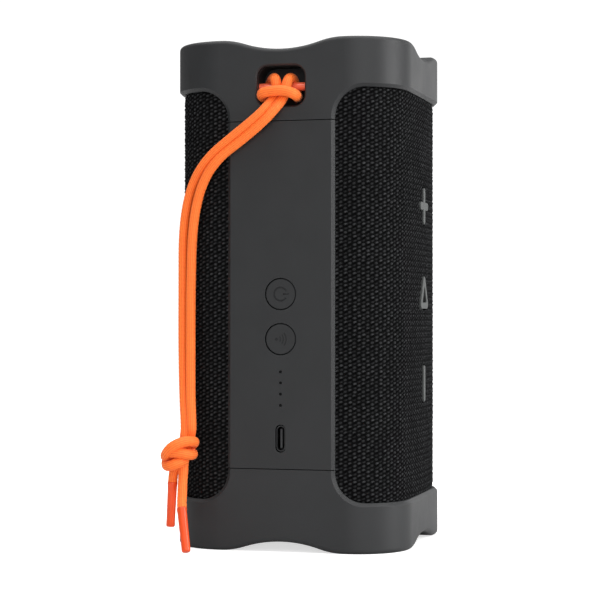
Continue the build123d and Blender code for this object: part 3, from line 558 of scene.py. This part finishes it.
# the bars' heights also set the knit's painted glint, so the upper bar is painted lighter than the
# others, as if lit from above
BARS = (
    (0.04, BAND, 1.42, 0.78, 0.6, 1.0),
    (-0.04, -BAND, 1.36, 0.78, 0.58, 0.84),
    (0.0, 0.0, 1.4, 0.76, 0.54, 0.64),
)
SLITS = (
    (0.0, BAND / 2, 1.0, 0.74, 0.28, 1.12),
    (0.0, -BAND / 2, 1.36, 0.62, 0.13, 0.35),
    (0.0, COURSE, 1.4, 0.62, 0.13, 0.35),
)


def stitches(across, up, seed):
    """Height from 0 to 1 of a staggered knit: each stitch is three bars with slits between them."""
    dice = np.random.default_rng(seed)
    jitter = dice.uniform(-1, 1, (JITTER_ROWS, JITTER_COLUMNS, 3))
    height = np.zeros_like(across)
    gap = np.zeros_like(across)
    row = np.round(up / COURSE).astype(int)
    for step_row in (-1, 0, 1):
        this_row = row + step_row
        shift = (this_row % 2) * 0.5
        column = np.round(across / WALE - shift).astype(int)
        for step_column in (-1, 0, 1):
            this_column = column + step_column
            chance = jitter[this_row % JITTER_ROWS, this_column % JITTER_COLUMNS]
            from_x = across - (this_column + shift) * WALE - 0.14 * chance[..., 0]
            from_y = up - this_row * COURSE - 0.12 * chance[..., 1]

            def turned(centre_x, centre_y, lean, long, wide):
                lean = lean + 0.16 * chance[..., 2]
                dx, dy = from_x - centre_x, from_y - centre_y
                along = dx * np.sin(lean) + dy * np.cos(lean)
                beside = dx * np.cos(lean) - dy * np.sin(lean)
                return along / long, beside / wide

            for *place, high in BARS:
                along, beside = turned(*place)
                dome = np.clip(1 - along**2 - beside**2, 0, None) ** 0.5
                height = np.maximum(height, high * (1 + 0.15 * chance[..., 0]) * dome)
            for *place, deep in SLITS:
                along, beside = turned(*place)
                pit = deep * (1 + 0.2 * chance[..., 1]) * np.exp(-(along**4) - beside**2)
                gap = np.maximum(gap, pit)
    return np.clip((0.36 + 0.64 * height) * (1 - gap), 0, 1.1)


def key_distance(name, y, z):
    """How far a point lies outside a key's symbol, in millimetres, below 0 inside it."""
    y, z = y - KEY_Y, z - KEYS[name]
    if name == "play":
        # a triangle drawn to its sharp corners, then cut back to where the rounded ones reach
        slope = math.atan2(PLAY_WIDE / 2 + PLAY_CORNER_R, PLAY_HIGH + PLAY_CORNER_R)
        sides = np.abs(y) * math.cos(slope) + (z - PLAY_HIGH / 2 - PLAY_CORNER_R) * math.sin(slope)
        ends = np.maximum(np.abs(y) - PLAY_REACH, np.abs(z) - PLAY_HIGH / 2)
        return np.maximum(sides, ends)
    upright = np.maximum(np.abs(y) - KEY_STROKE / 2, np.abs(z) - KEY_LONG / 2)
    if name == "minus":
        return upright
    return np.minimum(upright, np.maximum(np.abs(y) - KEY_LONG / 2, np.abs(z) - KEY_STROKE / 2))


def knit_half(name, side, seed):
    """One half of the sleeve, from the spine's edge to the middle of the rear."""
    outline, normals = sleeve_outline()
    along = np.r_[0, np.cumsum(np.linalg.norm(np.diff(outline, axis=0), axis=1))]
    start = np.interp(SPINE_HALF - 0.2, outline[:ARC_STEPS, 0], along[:ARC_STEPS])
    low, high = SKIRT - TUCK, HEIGHT - SKIRT + TUCK
    columns = int(round((along[-1] - start) / WALE * PER_WALE)) + 1
    rows = int(round((high - low) / COURSE * PER_COURSE)) + 1
    across = np.linspace(start, along[-1], columns)
    up = np.linspace(low, high, rows)
    x, y, normal_x, normal_y = (np.interp(across, along, v) for v in (*outline.T, *normals.T))
    grid_across, grid_up = np.meshgrid(across - along[-1], up)
    # the stitch heights shape the knit and also set its painted shade and glints
    crest = stitches(grid_across * side, grid_up, seed)
    grid_x, grid_y = np.broadcast_to(x, crest.shape), np.broadcast_to(y, crest.shape)
    lift = STITCH_HIGH * (crest - 1) + 0.08
    edge = np.minimum(np.minimum(grid_up - low, high - grid_up), EDGE_FADE) / EDGE_FADE
    lift = lift - EDGE_SINK * (1 - edge) ** 2
    cut = np.zeros(crest.shape, bool)
    if side > 0:
        for key in KEYS:
            cut |= (key_distance(key, grid_y, grid_up) < KEY_HOLE) & (grid_x > 30)
    lift = np.where(cut, HOLE_SINK, lift)
    # the sunk rims of the key holes get the knit's darkest painted shade
    crest = np.where(cut, 0.0, crest)
    points = np.stack([side * (grid_x + lift * normal_x), grid_y + lift * normal_y, grid_up], -1)
    faces = grid_faces(rows, columns)
    faces = faces[~cut.ravel()[faces].all(1)]
    if side < 0:
        faces = faces[:, ::-1]
    used = np.unique(faces)
    renumbered = np.zeros(rows * columns, int)
    renumbered[used] = np.arange(len(used))
    piece = piece_from(
        name, points.reshape(-1, 3)[used], renumbered[faces], "sleeve_fabric", crest=crest.ravel()[used]
    )
    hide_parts("fabric_sleeve")
    return piece


knit_half("knit_right", 1, 11)
knit_half("knit_left", -1, 12)


# ---------------------------------------------------------------- button symbols and key inlay
SPINE_FACE = -42.05
POWER_Z = 89.3
PAIRING_Z = 73.7
LINE_ROUND = 7


def raised_line(name, path, width, high, body):
    """A rounded raised line on the spine's face, along points given across and up."""
    path = np.array(path, float)
    ahead = np.gradient(path, axis=0)
    ahead /= np.linalg.norm(ahead, axis=1, keepdims=True)
    beside = np.stack([-ahead[:, 1], ahead[:, 0]], 1)
    rows = []
    for turn in np.linspace(0, math.pi, LINE_ROUND):
        place = path + beside * (width / 2 * math.cos(turn))
        out = np.full(len(path), SPINE_FACE + 0.02 - (high + 0.02) * math.sin(turn))
        rows.append(np.stack([place[:, 0], out, place[:, 1]], 1))
    points = np.stack(rows, 1)
    faces = grid_faces(len(path), LINE_ROUND).tolist()
    faces.append(list(range(LINE_ROUND))[::-1])
    faces.append(list(range(LINE_ROUND * (len(path) - 1), LINE_ROUND * len(path))))
    return piece_from(name, points.reshape(-1, 3), faces, "button_rubber", body, look=SYMBOL_INK)


def arc_points(centre, radius, start, end, count=40):
    angles = np.radians(np.linspace(start, end, count))
    return [(centre[0] + radius * math.cos(a), centre[1] + radius * math.sin(a)) for a in angles]


power = (0.0, POWER_Z)
raised_line("power_symbol_ring", arc_points(power, 2.3, 32, 328), 0.62, 0.07, "power_button")
power_bar = [(0.9, POWER_Z), (1.9, POWER_Z), (2.9, POWER_Z)]
raised_line("power_symbol_bar", power_bar, 0.6, 0.07, "power_button")
pairing = (-1.5, PAIRING_Z)
raised_line("pairing_symbol_dot", arc_points(pairing, 0.32, 0, 359, 16), 0.5, 0.06, "pairing_button")
for number, reach in enumerate((1.5, 2.5, 3.5)):
    raised_line(
        f"pairing_symbol_wave_{number}", arc_points(pairing, reach, -38, 38), 0.4, 0.06, "pairing_button"
    )


def play_inlay():
    """A dark recessed triangle in the play key's hollow, domed a little in its middle."""
    foot = -PLAY_HIGH / 2 + 2.0
    corners = np.array([(0, 2.9), (-4.0, foot), (4.0, foot)])
    sides = zip(corners, np.roll(corners, -1, 0))
    rim = np.concatenate([np.linspace(a, b, 12, endpoint=False) for a, b in sides])
    middle = corners.mean(0)
    points = []
    for share in (1.0, 0.85, 0.6, 0.3):
        ring = middle + (rim - middle) * share
        points += [(KEY_BASE + 0.56 + 0.1 * (1 - share), KEY_Y + y, KEYS["play"] + z) for y, z in ring]
    faces = grid_faces(4, len(rim), wrap=True).tolist()
    faces.append(list(range(3 * len(rim), 4 * len(rim))))
    return piece_from("play_key_inlay", points, faces, "key_plastic", "play_key", look=HOLLOW_NEAR_BLACK)


play_inlay()

# ---------------------------------------------------------------- radiators' and drivers' surrounds
RADIATOR_R = 20.0
RADIATOR_ROLL_AT = 23.3
RADIATOR_ROLL = 2.6
RADIATOR_OUTER = 27.5
RADIATOR_LAND = 8.8
RADIATOR_SKIN = 0.6
RADIATOR_FRAME_OPEN = 26.0
RADIATOR_MOVING = 20.7
DRIVERS = {"lower": 57.0, "upper": 121.0}
DRIVER_R = 17.6
DRIVER_ROLL_AT = 19.6
DRIVER_ROLL = 1.4
DRIVER_OUTER = 21.8
DRIVER_LAND = 34.22
DRIVER_SKIN = 0.4
DRIVER_BASKET_OPEN = 20.4
DRIVER_MOVING = 18.5
SECTORS = 12
SECTOR_STEPS = 13
RIM_CLEAR = 0.15


def across_roll(inner, roll_at, roll, outer):
    """Radii over a surround's section: its inner land, its half-round roll and its outer land."""
    return np.r_[
        np.linspace(inner, roll_at - roll, 4, endpoint=False),
        roll_at - roll * np.cos(np.linspace(0, math.pi, 25)),
        np.linspace(roll_at + roll, outer, 5)[1:],
    ]


def surround_sector(name, number, radii, skins, place, seats):
    """One sector of a rolled surround, stretching between the frame and the moving body.

    place(radii, angle, height) turns points of the section into places, and skins are its two sides.
    seats are the radius of the frame's opening, that of the moving body, and the height of the land.
    """
    opening, moving, level = seats
    angles = np.radians(np.linspace(0, 360 / SECTORS, SECTOR_STEPS) + number * 360 / SECTORS)
    sheets = [np.stack([place(radii, angle, skin) for angle in angles]) for skin in skins]
    outer = grid_faces(len(angles), len(radii))
    faces = np.concatenate([outer[:, ::-1], outer + len(angles) * len(radii)])
    points = np.concatenate([sheet.reshape(-1, 3) for sheet in sheets])
    piece = piece_from(name, points, faces.tolist(), "surround_rubber", body=None)
    middle = math.radians((number + 0.5) * 360 / SECTORS)
    still = (opening - RIM_CLEAR) * math.cos(math.pi / SECTORS)
    edges = place(np.array((still, moving)), middle, np.full(2, level)) * MM
    tuple(edges[0])
    tuple(edges[1])
    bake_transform(piece)
    return piece


def radiator_surrounds(end):
    """The surround of the passive radiator at the top or bottom end."""
    radii = across_roll(RADIATOR_R - 0.1, RADIATOR_ROLL_AT, RADIATOR_ROLL, RADIATOR_OUTER)
    offset = (radii - RADIATOR_ROLL_AT) / RADIATOR_ROLL
    roll = RADIATOR_SKIN - RADIATOR_ROLL * np.clip(1 - offset**2, 0, None) ** 0.5
    low = RADIATOR_LAND - np.logaddexp(0, -roll / 0.12) * 0.12
    low = low + 0.05 * np.sin(np.clip(offset, -1, 1) * math.pi * 4)

    def place(at, angle, height):
        up = HEIGHT - height if end == "top" else height
        return np.stack([at * math.cos(angle), at * math.sin(angle), up], 1)

    skins = (low, low + RADIATOR_SKIN)
    seats = (RADIATOR_FRAME_OPEN, RADIATOR_MOVING, RADIATOR_LAND)
    for number in range(SECTORS):
        name = f"{end}_surround_{number:02d}"
        piece = surround_sector(name, number, radii, skins, place, seats)
        if number == 0:
            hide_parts(f"{end}_radiator_surround")


def driver_surrounds(which):
    """The surround of the upper or lower driver's cone."""
    radii = across_roll(DRIVER_R, DRIVER_ROLL_AT, DRIVER_ROLL, DRIVER_OUTER)
    skins = []
    for land, reach in ((DRIVER_SKIN, DRIVER_ROLL), (0, DRIVER_ROLL - DRIVER_SKIN)):
        roll = np.clip(reach**2 - (radii - DRIVER_ROLL_AT) ** 2, 0, None) ** 0.5
        skins.append(DRIVER_LAND + np.maximum(land, roll))

    def place(at, angle, height):
        return np.stack([at * math.cos(angle), height, DRIVERS[which] + at * math.sin(angle)], 1)

    seats = (DRIVER_BASKET_OPEN, DRIVER_MOVING, DRIVER_LAND)
    for number in range(SECTORS):
        name = f"{which}_cone_surround_{number:02d}"
        piece = surround_sector(name, number, radii, skins, place, seats)
        if number == 0:
            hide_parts(f"{which}_driver_surround")


for end in ("top", "bottom"):
    radiator_surrounds(end)
for which in DRIVERS:
    driver_surrounds(which)

# ---------------------------------------------------------------- floor, light and finish
def area_light(name, place, target, size, power):
    data = bpy.data.lights.new(name, "AREA")
    data.shape = "RECTANGLE"
    data.size, data.size_y = size
    data.energy = power
    light = bpy.data.objects.new(name, data)
    light.location = place
    light.rotation_euler = (Vector(target) - Vector(place)).to_track_quat("-Z", "Y").to_euler()
    bpy.context.scene.collection.objects.link(light)


area_light("overhead", (0.0, -0.15, 1.4), (0, -0.15, 0), (2.0, 2.0), 31)
area_light("key_right", (1.0, 0.0, 0.4), (0, 0, 0.1), (0.5, 0.9), 10)
area_light("fill_front", (0.5, -1.4, 0.55), (0, 0, 0.09), (1.2, 0.9), 9)
area_light("back_right", (0.42, 1.1, 0.3), (0, 0, 0.1), (0.8, 0.7), 1.9)

# only the camera sees the glow, so the floor stays as white as the backdrop
FLOOR_GLOW = 0.65
FLOOR_CORNERS = [(-0.9, -1.0, 0), (0.9, -1.0, 0), (0.9, 0.8, 0), (-0.9, 0.8, 0)]
floor_data = bpy.data.meshes.new("floor")
floor_data.from_pydata(FLOOR_CORNERS, [], [(0, 1, 2, 3)])
floor = bpy.data.objects.new("floor", floor_data)
bpy.context.scene.collection.objects.link(floor)
floor_nodes = Nodes("floor_white")
floor_nodes.set(Base_Color=(0.7, 0.7, 0.7, 1), Roughness=1.0, Emission_Color=(1, 1, 1, 1))
floor_seen = floor_nodes.add("ShaderNodeLightPath").outputs["Is Camera Ray"]
floor_nodes.set(Emission_Strength=floor_nodes.span(floor_seen, 0.0, FLOOR_GLOW, 0.0, 1.0))
floor_data.materials.append(floor_nodes.material)

# the backdrop stays white to the camera, and lights the speaker more softly than it looks
WORLD_AS_LIGHT = 0.3
WORLD_SEEN = 1.1
world = bpy.data.worlds.new("studio")
bpy.context.scene.world = world
world.use_nodes = True
sky = world.node_tree
seen = sky.nodes.new("ShaderNodeLightPath").outputs["Is Camera Ray"]
strength = sky.nodes.new("ShaderNodeMapRange")
sky.links.new(seen, strength.inputs["Value"])
strength.inputs["To Min"].default_value = WORLD_AS_LIGHT
strength.inputs["To Max"].default_value = WORLD_SEEN
sky.links.new(strength.outputs["Result"], sky.nodes["Background"].inputs["Strength"])
sky.nodes["Background"].inputs["Color"].default_value = (1, 1, 1, 1)
bpy.context.scene.view_settings.view_transform = "Standard"
